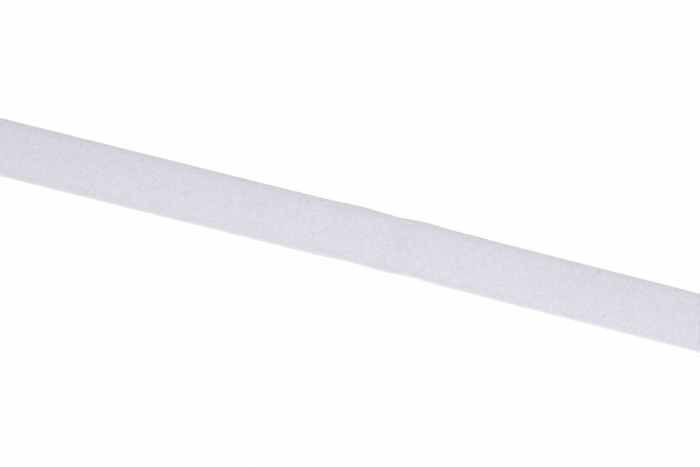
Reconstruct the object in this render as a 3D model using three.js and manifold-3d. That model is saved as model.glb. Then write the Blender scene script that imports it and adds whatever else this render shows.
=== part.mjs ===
// Hook and loop tape: one roll on a card core, with a stretch of the tape laid out flat beside it.
//
// The tape is double sided. Napped loop pile covers one face and moulded hooks the other, with the ground
// cloth that holds the pile between them. It is wound with the pile inwards, so that each turn's hooks
// grip the pile of the turn outside it, and it leaves the roll along the table with the pile on top.
//
// Millimetres, +Z up. X runs along the laid-out stretch, from the roll to the cut end, and Y runs across
// the tape. The origin is on the table, under the middle of the whole object.

import * as THREE from "three";
import { mergeVertices } from "three/addons/utils/BufferGeometryUtils.js";
import Module from "manifold-3d";

// Tape
const TAPE_WIDTH = 20;
const HOOK_STRIP_THICKNESS = 0.65;
const GROUND_CLOTH_THICKNESS = 0.4;
const WOUND_PILE_THICKNESS = 0.55;
const FREE_PILE_THICKNESS = 1.15;

// Winding
const TURNS = 12.25;
const STEPS_PER_TURN = 24;
const TURN_CLEARANCE = 0.45;
const STEP_OVER_TURN_SHARE = 0.125;

// Laid-out stretch, measured along the table from the line where the roll touches it
const FREE_LENGTH = 330;
const PILE_RECOVERY_LENGTH = 15;
const WAVE_START = 174.5;
const FIRST_CREST_HEIGHT = 1.1;
const FIRST_RISE_LENGTH = 14.5;
const FIRST_FALL_LENGTH = 12;
const SECOND_CREST_HEIGHT = 1.3;
const SECOND_RISE_LENGTH = 10;
const SECOND_FALL_LENGTH = 11;
const SWELL_HEIGHT = 0.42;
const SWELL_RISE_LENGTH = 16;
const SWELL_FALL_LENGTH = 11;
const CREASE_DEPTH = 0.37;
const CREASE_REACH = 8;
const STEPS_PER_SLOPE = 8;

// Card core, three plies from the bore outwards
const CORE_BORE_RADIUS = 19;
const LINER_PLY_THICKNESS = 0.6;
const BODY_PLY_THICKNESS = 0.8;
const COVER_PLY_THICKNESS = 0.6;
const CORE_PROUD = 0.4;
const BUTT_GAP = 0.5;
const PLY_LAY_ANGLE = THREE.MathUtils.degToRad(35);
const LINER_SEAM_TURN_SHARE = 0.08;
const BODY_SEAM_TURN_SHARE = 0.41;
const COVER_SEAM_TURN_SHARE = 0.74;
const CORE_FACETS = 3 * STEPS_PER_TURN;
const SEAM_STEPS = 12;
const CUT_OVERRUN = 1;

// Tack of hot melt that holds the start of the tape on the core
const TACK_THICKNESS = 0.3;
const TACK_LENGTH = 22;

// A flat facet's middle lies at this share of its corners' radius.
const stepAngle = (2 * Math.PI) / STEPS_PER_TURN;
const facetShare = Math.cos(stepAngle / 2);

const linerOuterRadius = CORE_BORE_RADIUS + LINER_PLY_THICKNESS;
const bodyOuterRadius = linerOuterRadius + BODY_PLY_THICKNESS;
const coreRadius = bodyOuterRadius + COVER_PLY_THICKNESS;
const coreLength = TAPE_WIDTH + 2 * CORE_PROUD;

// Depths through the wound tape, from its pile face on the inside to its hook face on the outside
const pileDepth = WOUND_PILE_THICKNESS;
const groundDepth = pileDepth + GROUND_CLOTH_THICKNESS;
const hookDepth = groundDepth + HOOK_STRIP_THICKNESS;

const pitch = hookDepth + TURN_CLEARANCE / facetShare;
const windSteps = Math.round(TURNS * STEPS_PER_TURN);
const startRadius = (coreRadius + TACK_THICKNESS) / facetShare;
const rollRadius = startRadius + (pitch * windSteps) / STEPS_PER_TURN + hookDepth;

// The roll reaches furthest to the left a quarter turn before the line where it touches the table.
const rollLeftReach = rollRadius - pitch / 4;
const rollX = (rollLeftReach - FREE_LENGTH) / 2;

function material(name, color, roughness) {
  return new THREE.MeshStandardMaterial({ name, color, roughness, metalness: 0 });
}

const pileMaterial = material("napped nylon loop pile", "#e9e6f2", 0.95);
const groundMaterial = material("knitted nylon ground cloth", "#e4e2ea", 0.85);
const hookMaterial = material("moulded polyamide hook ribbon", "#ecebf0", 0.5);
const linerMaterial = material("smooth grey card liner", "#b9b1a4", 0.85);
const cardMaterial = material("brown card", "#a5855f", 0.9);
const tackMaterial = material("amber hot melt", "#d9b777", 0.4);

function namedMesh(name, geometry, meshMaterial) {
  const mesh = new THREE.Mesh(geometry, meshMaterial);
  mesh.name = name;
  return mesh;
}

// A piece as wide as the tape, from its outline as it is seen along Y.
function tapeWide(name, outline, meshMaterial) {
  const geometry = new THREE.ExtrudeGeometry(new THREE.Shape(outline), {
    depth: TAPE_WIDTH,
    bevelEnabled: false,
  });
  const mesh = namedMesh(name, geometry, meshMaterial);
  mesh.rotation.x = Math.PI / 2;
  mesh.position.y = TAPE_WIDTH / 2;
  return mesh;
}

// A point of the winding about the roll's axis. Step 0 is the start on the core, and the last step is
// straight below the axis, where the tape turns flat on the table.
function windAngle(step) {
  return stepAngle * (step - windSteps) - Math.PI / 2;
}

// The tape hugs the core for most of its first turn, and then steps over its own start. Each turn outside
// repeats that step more softly, until the outermost is an even spiral. The step is counted in turns.
function stepOver(turn) {
  const share = turn % 1;
  const stepped = softSlope(Math.max(0, 1 - (1 - share) / STEP_OVER_TURN_SHARE));
  return (stepped - share) * (1 - turn / TURNS);
}

function windPoint(step, depth) {
  const turn = step / STEPS_PER_TURN;
  const radius = startRadius + pitch * (turn + stepOver(turn)) + depth;
  return new THREE.Vector2(
    radius * Math.cos(windAngle(step)),
    radius * Math.sin(windAngle(step)),
  );
}

// One layer of the tape, wound in a single unbroken strip.
function woundLayer(name, innerDepth, outerDepth, meshMaterial) {
  const outer = [];
  const inner = [];
  for (let step = 0; step <= windSteps; step += 1) {
    outer.push(windPoint(step, outerDepth));
    inner.push(windPoint(step, innerDepth));
  }
  return tapeWide(name, [...outer, ...inner.reverse()], meshMaterial);
}

// The least distance from one turn's hook face to the pile face of the turn outside it. Two polygons come
// closest at a corner of one of them, so corners are measured against the facets across the gap.
function leastTurnGap() {
  const closest = new THREE.Vector3();
  let least = Infinity;
  function measure(corner, facetStart, facetEnd) {
    const point = new THREE.Vector3(corner.x, corner.y, 0);
    const facet = new THREE.Line3(
      new THREE.Vector3(facetStart.x, facetStart.y, 0),
      new THREE.Vector3(facetEnd.x, facetEnd.y, 0),
    );
    facet.closestPointToPoint(point, true, closest);
    least = Math.min(least, closest.distanceTo(point));
  }
  for (let step = 1; step + STEPS_PER_TURN < windSteps; step += 1) {
    const above = step + STEPS_PER_TURN;
    for (const near of [-1, 0]) {
      measure(
        windPoint(step, hookDepth),
        windPoint(above + near, 0),
        windPoint(above + near + 1, 0),
      );
      measure(
        windPoint(above, 0),
        windPoint(step + near, hookDepth),
        windPoint(step + near + 1, hookDepth),
      );
    }
  }
  return least;
}

// How far the laid-out tape's hook face stands off the table: two low waves with a crease between them,
// where the tape was once folded, and a long swell that runs out from the second wave's crest.
const creaseAt = WAVE_START + FIRST_RISE_LENGTH + FIRST_FALL_LENGTH;
const secondCrestAt = creaseAt + SECOND_RISE_LENGTH;

function softSlope(share) {
  return (1 - Math.cos(Math.PI * share)) / 2;
}

function wave(x, start, riseLength, fallLength, height) {
  const crestAt = start + riseLength;
  const share = x < crestAt ? (x - start) / riseLength : 1 - (x - crestAt) / fallLength;
  return height * softSlope(THREE.MathUtils.clamp(share, 0, 1));
}

function lift(x) {
  return (
    wave(x, WAVE_START, FIRST_RISE_LENGTH, FIRST_FALL_LENGTH, FIRST_CREST_HEIGHT) +
    wave(x, creaseAt, SECOND_RISE_LENGTH, SECOND_FALL_LENGTH, SECOND_CREST_HEIGHT) +
    wave(x, secondCrestAt, SWELL_RISE_LENGTH, SWELL_FALL_LENGTH, SWELL_HEIGHT)
  );
}

// The pile is pressed flat in the roll, and stands up again over the first stretch that leaves it. It
// stays pressed in the crease.
function pileThickness(x) {
  const recovered = softSlope(Math.min(x / PILE_RECOVERY_LENGTH, 1));
  const standing = THREE.MathUtils.lerp(WOUND_PILE_THICKNESS, FREE_PILE_THICKNESS, recovered);
  return standing - wave(x, creaseAt - CREASE_REACH, CREASE_REACH, CREASE_REACH, CREASE_DEPTH);
}

function hookTop(x) {
  return lift(x) + HOOK_STRIP_THICKNESS;
}

function groundTop(x) {
  return hookTop(x) + GROUND_CLOTH_THICKNESS;
}

function pileTop(x) {
  return groundTop(x) + pileThickness(x);
}

// The places along the laid-out stretch where its layers have corners.
function freeStations() {
  const bends = [
    0,
    PILE_RECOVERY_LENGTH,
    WAVE_START,
    WAVE_START + FIRST_RISE_LENGTH,
    creaseAt,
    secondCrestAt,
    secondCrestAt + SECOND_FALL_LENGTH,
    secondCrestAt + SWELL_RISE_LENGTH,
    secondCrestAt + SWELL_RISE_LENGTH + SWELL_FALL_LENGTH,
  ];
  const stations = [0];
  bends.slice(1).forEach((end, index) => {
    const start = bends[index];
    const steps = start === PILE_RECOVERY_LENGTH ? 1 : STEPS_PER_SLOPE;
    for (let step = 1; step <= steps; step += 1) {
      stations.push(start + ((end - start) * step) / steps);
    }
  });
  return [...stations, FREE_LENGTH];
}

function freeLayer(name, under, over, meshMaterial) {
  const stations = freeStations();
  const lower = stations.map((x) => new THREE.Vector2(x, under(x)));
  const upper = stations.map((x) => new THREE.Vector2(x, over(x)));
  return tapeWide(name, [...lower, ...upper.reverse()], meshMaterial);
}

const wasm = await Module();
wasm.setup();

function toSolid(geometry) {
  const bare = geometry.clone();
  bare.deleteAttribute("normal");
  bare.deleteAttribute("uv");
  const merged = mergeVertices(bare);
  return new wasm.Manifold(
    new wasm.Mesh({
      numProp: 3,
      vertProperties: new Float32Array(merged.attributes.position.array),
      triVerts: new Uint32Array(merged.index.array),
    }),
  );
}

function toGeometry(solid) {
  const mesh = solid.getMesh();
  const geometry = new THREE.BufferGeometry();
  geometry.setAttribute("position", new THREE.BufferAttribute(mesh.vertProperties, mesh.numProp));
  geometry.setIndex(new THREE.BufferAttribute(mesh.triVerts, 1));
  geometry.computeVertexNormals();
  return geometry;
}

function tube(innerRadius, outerRadius) {
  const end = coreLength / 2;
  const profile = [
    new THREE.Vector2(innerRadius, -end),
    new THREE.Vector2(outerRadius, -end),
    new THREE.Vector2(outerRadius, end),
    new THREE.Vector2(innerRadius, end),
    new THREE.Vector2(innerRadius, -end),
  ];
  return new THREE.LatheGeometry(profile, CORE_FACETS);
}

// The slit where the two edges of a helically wound ply meet: a straight bar, wrapped round the core.
function buttSlit(innerRadius, outerRadius, seamTurnShare) {
  const middleRadius = (innerRadius + outerRadius) / 2;
  const lead = 2 * Math.PI * middleRadius * Math.tan(PLY_LAY_ANGLE);
  const bar = new THREE.BoxGeometry(
    BUTT_GAP,
    coreLength + 2 * CUT_OVERRUN,
    outerRadius - innerRadius + 2 * CUT_OVERRUN,
    1,
    SEAM_STEPS,
    1,
  );
  const places = bar.attributes.position;
  for (let index = 0; index < places.count; index += 1) {
    const y = places.getY(index);
    const radius = middleRadius + places.getZ(index);
    const turn = seamTurnShare + y / lead;
    const angle = 2 * Math.PI * turn + places.getX(index) / middleRadius;
    places.setXYZ(index, radius * Math.sin(angle), y, radius * Math.cos(angle));
  }
  return bar;
}

function ply(name, innerRadius, outerRadius, seamTurnShare, meshMaterial) {
  const whole = toSolid(tube(innerRadius, outerRadius));
  const slit = toSolid(buttSlit(innerRadius, outerRadius, seamTurnShare));
  return namedMesh(name, toGeometry(whole.subtract(slit)), meshMaterial);
}

// The tack fills the space between the core's facets and the first facets of the winding's pile face.
function startTack() {
  const steps = Math.max(1, Math.round(TACK_LENGTH / (stepAngle * startRadius)));
  const facetsPerStep = CORE_FACETS / STEPS_PER_TURN;
  const outer = [];
  for (let step = 0; step <= steps; step += 1) {
    outer.push(windPoint(step, 0));
  }
  const inner = [];
  for (let facet = 0; facet <= steps * facetsPerStep; facet += 1) {
    const angle = windAngle(facet / facetsPerStep);
    inner.push(new THREE.Vector2(coreRadius * Math.cos(angle), coreRadius * Math.sin(angle)));
  }
  return tapeWide("start_tack", [...outer, ...inner.reverse()], tackMaterial);
}

const roll = new THREE.Group();
roll.position.set(rollX, 0, rollRadius);
roll.add(
  ply("core_liner_ply", CORE_BORE_RADIUS, linerOuterRadius, LINER_SEAM_TURN_SHARE, linerMaterial),
  ply("core_body_ply", linerOuterRadius, bodyOuterRadius, BODY_SEAM_TURN_SHARE, cardMaterial),
  ply("core_cover_ply", bodyOuterRadius, coreRadius, COVER_SEAM_TURN_SHARE, cardMaterial),
  startTack(),
  woundLayer("wound_loop_pile", 0, pileDepth, pileMaterial),
  woundLayer("wound_ground_cloth", pileDepth, groundDepth, groundMaterial),
  woundLayer("wound_hook_strip", groundDepth, hookDepth, hookMaterial),
);

const laidOut = new THREE.Group();
laidOut.position.set(rollX, 0, 0);
laidOut.add(
  freeLayer("free_hook_strip", lift, hookTop, hookMaterial),
  freeLayer("free_ground_cloth", hookTop, groundTop, groundMaterial),
  freeLayer("free_loop_pile", groundTop, pileTop, pileMaterial),
);

console.log("least gap between turns of the winding: " + leastTurnGap().toFixed(3) + " mm");

const tapeRoll = new THREE.Group();
tapeRoll.add(roll, laidOut);

export default tapeRoll;
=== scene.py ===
import math
from functools import partial

import bmesh
import bpy
import numpy as np
from bpy.props import FloatProperty, FloatVectorProperty, IntProperty, PointerProperty
from mathutils import Matrix, Vector, noise


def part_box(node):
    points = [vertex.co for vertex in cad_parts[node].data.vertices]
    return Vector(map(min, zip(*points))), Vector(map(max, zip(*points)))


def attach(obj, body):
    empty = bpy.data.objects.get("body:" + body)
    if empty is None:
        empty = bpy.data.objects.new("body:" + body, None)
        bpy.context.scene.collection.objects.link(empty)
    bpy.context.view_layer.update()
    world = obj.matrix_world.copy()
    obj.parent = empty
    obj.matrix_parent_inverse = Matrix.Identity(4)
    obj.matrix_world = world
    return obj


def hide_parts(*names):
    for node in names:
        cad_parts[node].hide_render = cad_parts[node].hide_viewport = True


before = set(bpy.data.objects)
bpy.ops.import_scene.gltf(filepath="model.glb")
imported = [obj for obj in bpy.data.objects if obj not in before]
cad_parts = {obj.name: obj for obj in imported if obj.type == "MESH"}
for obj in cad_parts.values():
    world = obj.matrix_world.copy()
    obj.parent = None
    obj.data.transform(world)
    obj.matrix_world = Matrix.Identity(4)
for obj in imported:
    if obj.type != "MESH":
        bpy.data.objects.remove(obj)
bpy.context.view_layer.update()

bl_info = {
    "name": "Hook and loop tape roll",
    "version": (1, 0, 0),
    "blender": (4, 5, 0),
    "location": "View3D > Sidebar > Tape roll",
    "description": "Double-sided hook and loop tape on a card core, with a stretch laid out flat",
    "category": "Object",
}

# Places below are tape coordinates until the last step of each piece: s runs along the tape, from
# minus the wound length at the core, through 0 where the tape turns flat on the table, to the cut
# end; y runs across the tape; h runs through it, from 0 at the hook tips to the top of the pile.

MM = 0.001
strip_low, strip_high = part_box("free_hook_strip")
core_low, core_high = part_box("core_cover_ply")
CONTACT_X = strip_low.x
FREE_LENGTH = strip_high.x - strip_low.x
TAPE_WIDTH = strip_high.y - strip_low.y
ROLL_CENTRE_X = (core_low.x + core_high.x) / 2
ROLL_RADIUS = (core_low.z + core_high.z) / 2
CORE_RADIUS = (core_high.x - core_low.x) / 2
CORE_LENGTH = core_high.y - core_low.y

# How finely the winding is measured, and how long the strips' steps are along the tape
WINDING_POINTS = 8000
FELT_STEP = 0.4 * MM
LAID_STEP = 1.0 * MM
WOUND_STEP = 1.5 * MM

# What each random draw and each noise adds to the seed. The noise of the card's sawn ends has a
# seed of its own.
FILAMENT_DRAW, LOOP_DRAW, LAID_EDGE_DRAW, WOUND_EDGE_DRAW, LOOSE_DRAW = 0, 5, 8, 10, 20
TUFT_NOISE, WISP_NOISE, SLIT_NOISE, TACK_NOISE = 0, 1, 3, 4
SAWN_NOISE = 5

# A Mix node's colour is the third of its outputs
MIXED_COLOUR = 2


def hex_to_linear(code):
    """An sRGB hex colour as the linear values that shaders take."""
    channels = [int(code[i : i + 2], 16) / 255 for i in (1, 3, 5)]
    linear = [c / 12.92 if c <= 0.04045 else ((c + 0.055) / 1.055) ** 2.4 for c in channels]
    return (*linear, 1.0)


def number_property(name, description, default, **kind):
    return FloatProperty(name=name, description=description, default=default, **kind)


def length_property(name, description, millimetres):
    default = millimetres * MM
    return number_property(name, description, default, min=0, precision=5, unit="LENGTH")


def angle_property(name, description, degrees):
    return number_property(name, description, math.radians(degrees), subtype="ANGLE")


def colour_property(name, description, code):
    return FloatVectorProperty(
        name=name,
        description=description,
        default=hex_to_linear(code),
        size=4,
        min=0,
        max=1,
        subtype="COLOR",
    )


class TAPE_PG_sizes(bpy.types.PropertyGroup):
    """Sizes of the tape and its core, as the frame has them"""

    hook_height: length_property("Hook height", "How far the hooks stand off their ribbon", 0.43)
    ribbon: length_property("Hook ribbon", "Thickness of the ribbon that the hooks stand on", 0.22)
    ground: length_property("Ground cloth", "Thickness of the cloth that holds the loops", 0.4)
    wound_pile: length_property("Wound pile", "Thickness of the pile pressed in the roll", 0.55)
    free_pile: length_property("Free pile", "Thickness of the pile where it stands free", 1.15)
    pitch: length_property("Turn pitch", "Distance from one turn of the roll to the next", 2.0539)
    turns: number_property("Turns", "Turns of tape on the core", 12.25)
    step_over: number_property(
        "Step over", "Share of a turn over which the tape steps over its own start", 0.125
    )
    pile_recovery: length_property("Pile recovery", "Length over which the pile stands up", 15)
    wave_start: length_property("Wave start", "Where the laid-out tape first lifts", 174.5)
    first_crest: length_property("First crest", "Height of the first wave", 1.1)
    first_rise: length_property("First rise", "Length of the first wave's rise", 14.5)
    first_fall: length_property("First fall", "Length of the first wave's fall", 12)
    second_crest: length_property("Second crest", "Height of the second wave", 1.3)
    second_rise: length_property("Second rise", "Length of the second wave's rise", 10)
    second_fall: length_property("Second fall", "Length of the second wave's fall", 11)
    swell: length_property("Swell", "Height of the swell beyond the second wave's crest", 0.42)
    swell_rise: length_property("Swell rise", "Length of the swell's rise", 16)
    swell_fall: length_property("Swell fall", "Length of the swell's fall", 11)
    crease_depth: length_property("Crease depth", "How far the crease presses the pile", 0.37)
    crease_reach: length_property("Crease reach", "How far the crease presses each way", 8)
    bend: length_property("Side bend", "How far the tape bends sideways at the crease", 0.41)
    bend_start: length_property("Bend start", "Where the tape starts to run sideways", 68)
    liner_ply: length_property("Liner ply", "Thickness of the core's innermost ply", 0.6)
    body_ply: length_property("Body ply", "Thickness of the core's middle ply", 0.8)
    cover_ply: length_property("Cover ply", "Thickness of the core's outer ply", 0.6)
    butt_gap: length_property("Butt gap", "Gap where a ply's edges meet", 0.3)
    ply_lay: angle_property("Ply lay", "Angle between a ply's seam and the way round the core", 35)
    tack_length: length_property("Tack length", "Length of the hot melt under the tape", 22)
    tack: length_property("Tack", "Thickness of the hot melt", 0.3)


class TAPE_PG_texture(bpy.types.PropertyGroup):
    """Spacings and sizes of what covers the tape's faces"""

    felt_share: number_property(
        "Felt share", "Share of the pile's height that is matted into a closed felt", 0.82
    )
    crown: length_property("Crown", "How much lower the pile is at the tape's edges", 0.6)
    filament_spacing: length_property("Filament spacing", "Distance between filaments", 0.62)
    filament_radius: length_property("Filament bend", "Radius of a lying filament's bend", 0.95)
    loop_spacing: length_property("Loop spacing", "Distance between loops that stand clear", 1.1)
    loop_radius: length_property("Loop radius", "Radius of a loop that stands clear", 0.3)
    yarn_radius: length_property("Yarn radius", "Half the thickness of a loop's yarn", 0.031)
    fibre_radius: length_property("Fibre radius", "Half the thickness of a filament", 0.018)
    hook_grip: length_property("Hook grip", "How deep hooks sink into the wound pile", 0.34)
    hook_pitch: length_property("Hook pitch", "Distance between hooks along a row", 1.3)
    hook_row: length_property("Hook row spacing", "Distance between rows of hooks", 1.25)
    hook_margin: length_property("Hook margin", "Plain ribbon beside the outer rows", 0.45)
    hook_width: length_property("Hook width", "Width of a hook across the tape", 0.28)
    hook_depth: length_property("Hook depth", "Length of a hook's foot along the tape", 0.42)
    # Painted light: each filament and loop is brightened over the felt, to make up for the shade on
    # its rounded sides
    yarn_painted_light: number_property(
        "Yarn gain", "How much brighter a filament is than the felt, which holds shade", 1.1
    )
    seed: IntProperty(name="Seed", description="Start of the random draws", default=7)


class TAPE_PG_colours(bpy.types.PropertyGroup):
    """Colours of the tape, its core and the stage"""

    pile: colour_property("Pile", "Body of the loop pile", "#EBE8F2")
    pile_shade: colour_property("Pile shade", "Thinner places of the loop pile", "#E6E4EE")
    # Painted shade: the pile's darker, greyer colour along the cut edges and towards the far cut
    # end
    pile_edge_shade: colour_property("Pile margin", "Loop pile near the cut edges", "#E5E2E9")
    ground: colour_property("Ground cloth", "Knitted cloth under the pile", "#DCDAE1")
    ribbon: colour_property("Hook ribbon", "Moulded ribbon and hooks", "#E0DFE4")
    liner: colour_property("Liner card", "Smooth grey card in the bore", "#B3ADA2")
    card: colour_property("Core card", "Brown card of the other plies", "#A98660")
    card_fibre: colour_property("Card fibres", "Paler fibres in the brown card", "#C3A582")
    tack: colour_property("Hot melt", "Amber hot melt", "#D6B273")
    floor: colour_property("Floor", "White sweep under the object", "#DCDCDC")


class TAPE_PG_stage(bpy.types.PropertyGroup):
    """The camera and the light"""

    view_centre: length_property("View centre", "Middle of the view, along the laid-out tape", 187)
    view_width: length_property("View width", "Width that the view takes in at the tape", 236.3)
    elevation: angle_property("Elevation", "Height of the camera above the horizon", 70)
    fall: number_property("Fall", "How far the tape falls in the view for each unit across", 0.252)
    lens: number_property("Lens", "Focal length in millimetres", 400)
    ambient: number_property("Ambient", "Even light from all round", 0.66)
    key_power: number_property("Key lamp", "Power of the key lamp, in watts", 2.7)
    key_size: length_property("Key size", "Width of the key lamp", 450)


# Node helpers


def add_node(tree, kind, sockets=None, **settings):
    """Adds a shader node with its settings. Each input socket named, by its identifier, gets a
    value or a link. A node given as a value stands for its first output."""
    node = tree.nodes.new(f"ShaderNode{kind}")
    for name, value in settings.items():
        setattr(node, name, value)
    inputs = {socket.identifier: socket for socket in node.inputs}
    for name, value in (sockets or {}).items():
        if isinstance(value, bpy.types.Node):
            value = value.outputs[0]
        if isinstance(value, bpy.types.NodeSocket):
            tree.links.new(value, inputs[name])
        else:
            inputs[name].default_value = value
    return node


def node_adder(holder):
    """The cleared node tree of a new material or world, as a function that adds nodes to it."""
    holder.use_nodes = True
    holder.node_tree.nodes.clear()
    return partial(add_node, holder.node_tree)


def new_material(name, fill, colours):
    """A new material, filled by one of the functions below. It gives them the function that adds
    nodes, the socket of the tape coordinates, in millimetres, and the colours."""
    material = bpy.data.materials.new(name)
    add = node_adder(material)
    place = add("Attribute", attribute_name="tape").outputs["Vector"]
    fill(add, place, colours)
    return material


def shaded(add, colour, pattern, limits, darkest, lightest=1.0):
    """Adds the nodes that shade a colour by a pattern, which is darkest at its lower limit."""
    low, high = limits
    level = add(
        "MapRange",
        {
            "Value": pattern,
            "From Min": low,
            "From Max": high,
            "To Min": darkest,
            "To Max": lightest,
        },
    )
    return add("HueSaturation", {"Color": colour, "Value": level})


def finish_material(add, colour, sockets, relief=None):
    """Adds the shader and the output. A relief is a pattern, its strength and its depth."""
    if relief:
        height, strength, depth = relief
        bump = add("Bump", {"Height": height, "Strength": strength, "Distance": depth})
        sockets = {**sockets, "Normal": bump}
    add("OutputMaterial", {"Surface": add("BsdfPrincipled", {"Base Color": colour, **sockets})})


# Materials. Their patterns are measured in millimetres.

# How far apart the Wave texture's bands are at a scale of 1
WAVE_PERIOD = math.pi / 10
NYLON_IOR = 1.53


def pile_colour(add, place, colours):
    """Adds the nodes for the pile's colour: thinner places a little deeper and bluer, and painted
    shade, a little darker and greyer, along the cut edges and towards the far cut end."""
    tone = add("Attribute", attribute_name="tone")
    # Tufts of brushed filament are 1.5 to 2 mm across.
    tufts = add("TexNoise", {"Vector": place, "Scale": 1 / 1.8, "Detail": 3.0, "Roughness": 0.6})
    thin = add("MapRange", {"Value": tufts, "From Min": 0.3, "From Max": 0.7})
    body = add(
        "Mix",
        {"Factor_Float": thin, "A_Color": colours.pile_shade, "B_Color": colours.pile},
        data_type="RGBA",
    )
    axes = add("SeparateXYZ", {"Vector": place})
    off_middle = add("Math", {"Value": axes.outputs["Y"]}, operation="ABSOLUTE")
    # Where each painted shade begins, where it is full, and how much of the shade colour it has
    # then
    margin, far_end_shade = (
        add(
            "MapRange",
            {"Value": value, "From Min": begins, "From Max": full, "To Max": share},
            interpolation_type="SMOOTHSTEP",
        )
        for value, begins, full, share in (
            (off_middle, 5.5, 9.8, 1.0), (axes.outputs["X"], 230, 280, 0.32)
        )
    )
    # The deeper of the two painted shades, along the cut edges or towards the far end
    painted_shade_share = add("Math", {"Value": margin, "Value_001": far_end_shade}, operation="MAXIMUM")
    edged = add(
        "Mix",
        {
            "Factor_Float": painted_shade_share,
            "A_Color": body.outputs[MIXED_COLOUR],
            "B_Color": colours.pile_edge_shade,
        },
        data_type="RGBA",
    )
    return add(
        "HueSaturation", {"Color": edged.outputs[MIXED_COLOUR], "Value": tone.outputs["Fac"]}
    )


def fibre_lay(add, place, turn):
    """Adds the nodes for matted filaments that lie one way, each about 1.3 mm long. They are drawn
    0.16 mm apart, which is coarser than real so that they show."""
    laid = add(
        "Mapping",
        {"Vector": place, "Rotation": (0, 0, turn), "Scale": (1.3, 0.16, 0.5)},
        vector_type="TEXTURE",
    )
    return add("TexNoise", {"Vector": laid, "Scale": 1.0, "Detail": 2.0, "Distortion": 0.3})


def felt_nodes(add, place, colours):
    """Napped nylon, brushed until its filaments mat together. Light sinks a little way in and
    scatters, so it is soft and never shines. Its colour is darkened by painted shade of the
    filaments over it."""
    one_way = fibre_lay(add, place, math.radians(50))
    other_way = fibre_lay(add, place, math.radians(-35))
    matted = add("Math", {"Value": one_way, "Value_001": other_way}, operation="MAXIMUM")
    # Painted shade: the fibre pattern darkens the pile colour to between 0.83 and 0.9 of it
    finish_material(
        add,
        shaded(add, pile_colour(add, place, colours), matted, (0.4, 0.7), 0.83, 0.9),
        {
            "Roughness": 1.0,
            "IOR": NYLON_IOR,
            "Specular IOR Level": 0.2,
            "Sheen Weight": 0.2,
            "Sheen Roughness": 0.6,
            "Subsurface Weight": 0.4,
            "Subsurface Radius": (1.0, 1.0, 1.0),
            "Subsurface Scale": 0.3 * MM,
        },
        relief=(matted, 0.5, 0.12 * MM),
    )


def yarn_nodes(add, place, colours):
    """Drawn nylon filament, crimped by napping: smooth and pale, with a faint soft sheen along
    it."""
    finish_material(
        add,
        pile_colour(add, place, colours),
        {
            "Roughness": 0.7,
            "IOR": NYLON_IOR,
            "Specular IOR Level": 0.3,
            "Sheen Weight": 0.8,
            "Sheen Roughness": 0.6,
        },
    )


def ground_nodes(add, place, colours):
    """Warp-knitted nylon with a clear binder. Wales run along the tape and the binder dulls the
    cloth."""
    # Wales are 0.9 mm apart across the tape and courses 0.6 mm apart along it.
    wales, courses = (
        add(
            "TexWave",
            {"Vector": place, "Scale": WAVE_PERIOD / apart, "Distortion": unevenness},
            bands_direction=across,
        )
        for apart, unevenness, across in ((0.9, 0.6, "Y"), (0.6, 1.0, "X"))
    )
    knit = add(
        "Math",
        {"Value": wales.outputs["Fac"], "Value_001": courses.outputs["Fac"]},
        operation="MULTIPLY",
    )
    finish_material(
        add,
        shaded(add, colours.ground, knit, (0, 1), 0.9),
        {"Roughness": 0.8, "IOR": NYLON_IOR, "Sheen Weight": 0.15, "Sheen Roughness": 0.5},
        relief=(knit, 0.6, 0.1 * MM),
    )


def ribbon_nodes(add, place, colours):
    """Moulded polyamide: satin and slightly milky, with fine die lines along the tape."""
    # Die lines are drawn about 0.3 mm apart and run far along the tape.
    stretched = add("Mapping", {"Vector": place, "Scale": (0.02, 1 / 0.3, 1.0)})
    lines = add("TexNoise", {"Vector": stretched, "Scale": 1.0, "Detail": 2.0})
    finish_material(
        add,
        shaded(add, colours.ribbon, lines, (0, 1), 0.95, 1.03),
        {
            "Roughness": 0.42,
            "IOR": NYLON_IOR,
            "Subsurface Weight": 0.15,
            "Subsurface Radius": (1.0, 1.0, 1.0),
            "Subsurface Scale": 0.3 * MM,
        },
        relief=(lines, 0.3, 0.03 * MM),
    )


def card_nodes(add, place, base, fibre, roughness):
    """Pressed paper card. Fibres lie mostly along the ply, with flecks and a dry, matt surface."""
    # Fibres are 2 mm long and drawn 0.2 mm apart. Flecks are about 0.6 mm across.
    along = add("Mapping", {"Vector": place, "Scale": (1 / 2, 1 / 0.2, 1 / 0.1)})
    fibres = add("TexNoise", {"Vector": along, "Scale": 1.0, "Detail": 4.0, "Roughness": 0.65})
    flecks = add("TexNoise", {"Vector": place, "Scale": 1 / 0.6, "Detail": 2.0})
    pale = add("MapRange", {"Value": fibres, "From Min": 0.35, "From Max": 0.75})
    mixed = add("Mix", {"Factor_Float": pale, "A_Color": base, "B_Color": fibre}, data_type="RGBA")
    finish_material(
        add,
        shaded(add, mixed.outputs[MIXED_COLOUR], flecks, (0.3, 0.45), 0.82),
        {"Roughness": roughness, "IOR": 1.5},
        relief=(fibres, 0.5, 0.05 * MM),
    )


def liner_nodes(add, place, colours):
    """Grey card, pressed smooth, of one even pulp."""
    card_nodes(add, place, colours.liner, colours.liner, roughness=0.75)


def kraft_nodes(add, place, colours):
    """Brown kraft card, left rough, with paler fibres in its pulp."""
    card_nodes(add, place, colours.card, colours.card_fibre, roughness=0.9)


def tack_nodes(add, place, colours):
    """Amber hot melt: glossy, cloudy and soft edged where it was pressed out."""
    # Cloudy places are about 1.5 mm across.
    cloud = add("TexNoise", {"Vector": place, "Scale": 1 / 1.5, "Detail": 2.0})
    finish_material(
        add,
        shaded(add, colours.tack, cloud, (0, 1), 0.85, 1.05),
        {
            "Roughness": 0.3,
            "IOR": 1.48,
            "Subsurface Weight": 0.3,
            "Subsurface Radius": (1.0, 0.6, 0.3),
            "Subsurface Scale": 0.5 * MM,
        },
    )


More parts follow.
